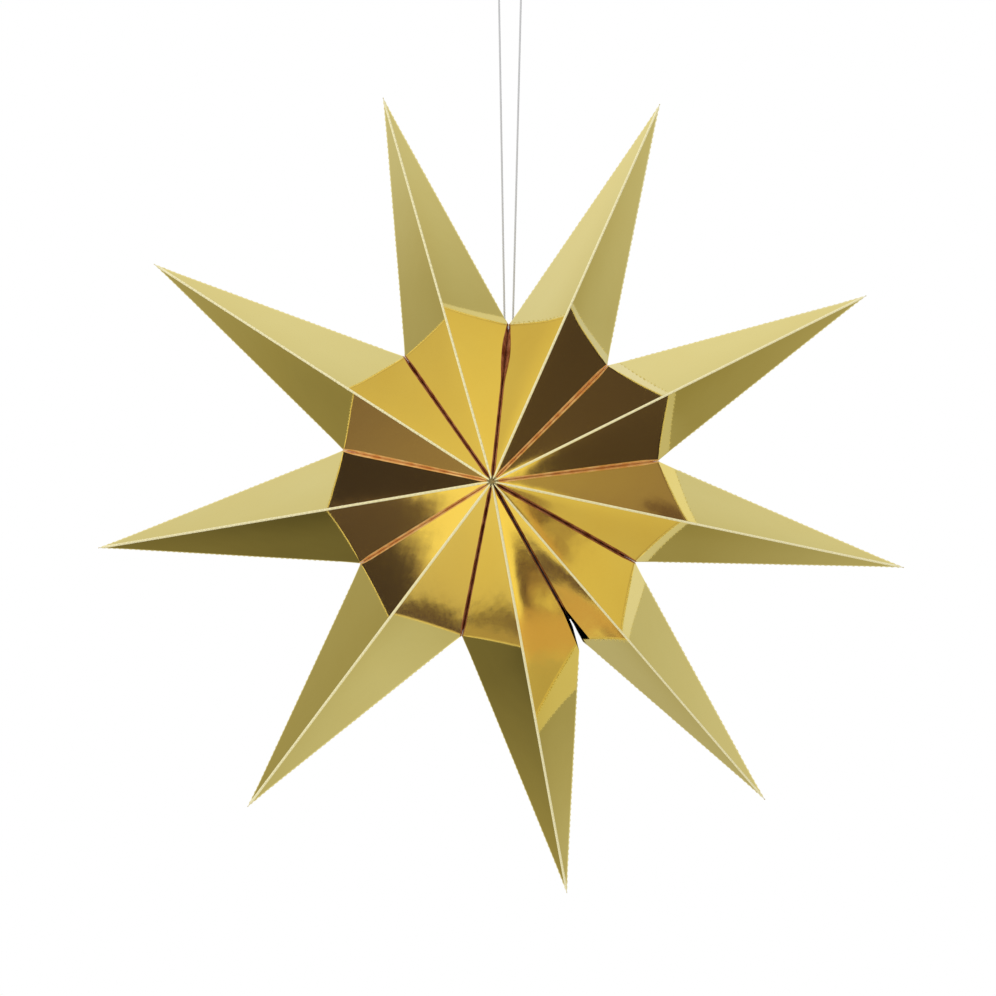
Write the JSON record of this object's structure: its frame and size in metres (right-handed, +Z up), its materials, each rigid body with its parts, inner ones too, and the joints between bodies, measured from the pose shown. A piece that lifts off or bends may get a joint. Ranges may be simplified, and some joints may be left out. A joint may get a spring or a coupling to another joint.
{
  "type": "hanging paper star",
  "caption": "Hanging star of long folded points in mirror gold card, glued side by side round a hub and hung on a thin cord loop.",
  "frame": {"origin": "the highest point inside the cord's loop, where a hook bears on it", "axes": "+Z up as the star hangs, -Y out of its front face, +X to the viewer's right"},
  "size_m": [0.589, 0.1984, 0.6677],
  "materials": {
    "gold_card": "gloss",
    "closure_tape": "matte",
    "cord": "matte"
  },
  "bodies": {
    "root": {"star_point_1": "gold_card", "star_point_2": "gold_card", "star_point_3": "gold_card", "star_point_4": "gold_card", "star_point_5": "gold_card", "star_point_6": "gold_card", "star_point_7": "gold_card", "star_point_8": "gold_card", "star_point_9": "gold_card", "hook_strip_front": "closure_tape", "loop_strip_front": "closure_tape", "hook_strip_back": "closure_tape", "loop_strip_back": "closure_tape", "hanging_cord": "cord", "cord_knot": "cord"}
  },
  "joints": []
}
